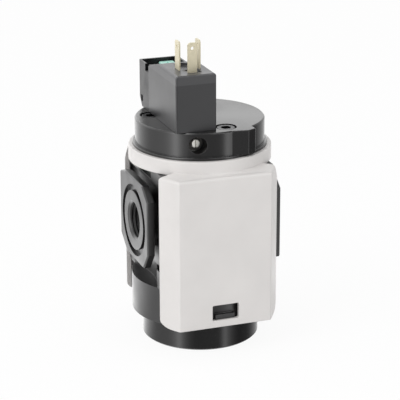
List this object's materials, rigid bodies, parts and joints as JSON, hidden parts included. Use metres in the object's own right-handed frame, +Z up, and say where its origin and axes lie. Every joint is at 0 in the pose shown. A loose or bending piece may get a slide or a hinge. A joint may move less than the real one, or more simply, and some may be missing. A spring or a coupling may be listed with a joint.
{
  "type": "pneumatic solenoid valve",
  "caption": "Solenoid-piloted air valve with round black foot and cap, light grey faceted covers, manifold flanges with ring grooves round the ports, coil block with upright contact blades.",
  "frame": {"origin": "centre of the foot's bottom face", "axes": "+Z up along the main bore, front -Y, inlet flange on -X, outlet flange on +X"},
  "size_m": [0.0762, 0.0806, 0.1671],
  "materials": {
    "body_black": "die casting with a satin black coat",
    "cap_black": "turned, with a glossy black coat",
    "cover_grey": "fine-grained light grey moulding",
    "seal_rubber": "matte",
    "poppet_brass": "turned",
    "piston_plastic": "turned acetal",
    "spring_steel": "drawn wire",
    "screw_steel": "darkened",
    "gland_brass": "turned",
    "adjuster_nickel": "nickel-plated",
    "coil_black": "satin moulding",
    "pilot_black": "satin moulding",
    "magnet_iron": "machined",
    "bobbin_plastic": "natural nylon",
    "winding_copper": "enamelled copper wire; brass stands in for copper",
    "tube_steel": "drawn",
    "blade_tin": "tinned",
    "override_teal": "mint green moulding"
  },
  "bodies": {
    "valve": {"bottom_plug": "body_black", "bottom_plug_o_ring": "seal_rubber", "stem_o_ring": "seal_rubber", "valve_body": "body_black", "poppet_spring": "spring_steel", "cap_o_ring": "seal_rubber", "pilot_cap": "cap_black", "cap_screws": "screw_steel", "front_cover": "cover_grey", "rear_cover": "cover_grey", "adjuster_gland": "gland_brass", "coil_housing": "coil_black", "coil_yoke": "magnet_iron", "coil_bobbin": "bobbin_plastic", "coil_winding": "winding_copper", "armature_tube": "tube_steel", "fixed_core": "magnet_iron", "power_blades": "blade_tin", "earth_blade": "blade_tin", "connector_insert": "gland_brass", "pilot_valve_body": "pilot_black", "pilot_nozzle": "gland_brass", "pilot_screws": "screw_steel", "pilot_gasket": "seal_rubber", "override_spring": "spring_steel"},
    "poppet": {"main_poppet": "poppet_brass", "poppet_seal": "seal_rubber", "piston_spring": "spring_steel"},
    "piston": {"actuator_piston": "piston_plastic", "piston_o_ring": "seal_rubber", "piston_nose_seal": "seal_rubber"},
    "plunger": {"plunger": "magnet_iron", "plunger_seal": "seal_rubber", "plunger_spring": "spring_steel"},
    "override": {"override_button": "override_teal", "override_o_ring": "seal_rubber"},
    "adjuster_travel": {"adjuster_o_ring": "seal_rubber"},
    "adjuster": {"adjuster_screw": "adjuster_nickel"}
  },
  "joints": [
    {"name": "poppet_open", "type": "slide", "parent": "valve", "child": "poppet", "axis": [0, 0, -1], "range_m": [0, 0.0035], "stiffness_N_per_m": 500, "springref_m": -0.02, "deforming": ["poppet_spring"]},
    {"name": "piston_press", "type": "slide", "parent": "poppet", "child": "piston", "axis": [0, 0, -1], "range_m": [0, 0.0015], "stiffness_N_per_m": 300, "springref_m": -0.02, "deforming": ["piston_spring"]},
    {"name": "plunger_pull", "type": "slide", "parent": "valve", "child": "plunger", "axis": [0, -1, 0], "range_m": [0, 0.0008], "stiffness_N_per_m": 150, "springref_m": -0.01},
    {"name": "override_push", "type": "slide", "parent": "valve", "child": "override", "axis": [0, 0, -1], "range_m": [0, 0.0012], "stiffness_N_per_m": 200, "springref_m": -0.005, "deforming": ["override_spring"]},
    {"name": "adjuster_slide", "type": "slide", "parent": "valve", "child": "adjuster_travel", "axis": [0, -1, 0], "range_m": [0, 0.0028]},
    {"name": "adjuster_turn", "type": "hinge", "parent": "adjuster_travel", "child": "adjuster", "pos_m": [-0.0123, -0.02, 0.1155], "axis": [0, -1, 0], "range_deg": [0, 1440]}
  ],
  "couplings": [
    {"joint": "adjuster_turn", "follows": "adjuster_slide", "rad_per_m": 8975.9}
  ]
}
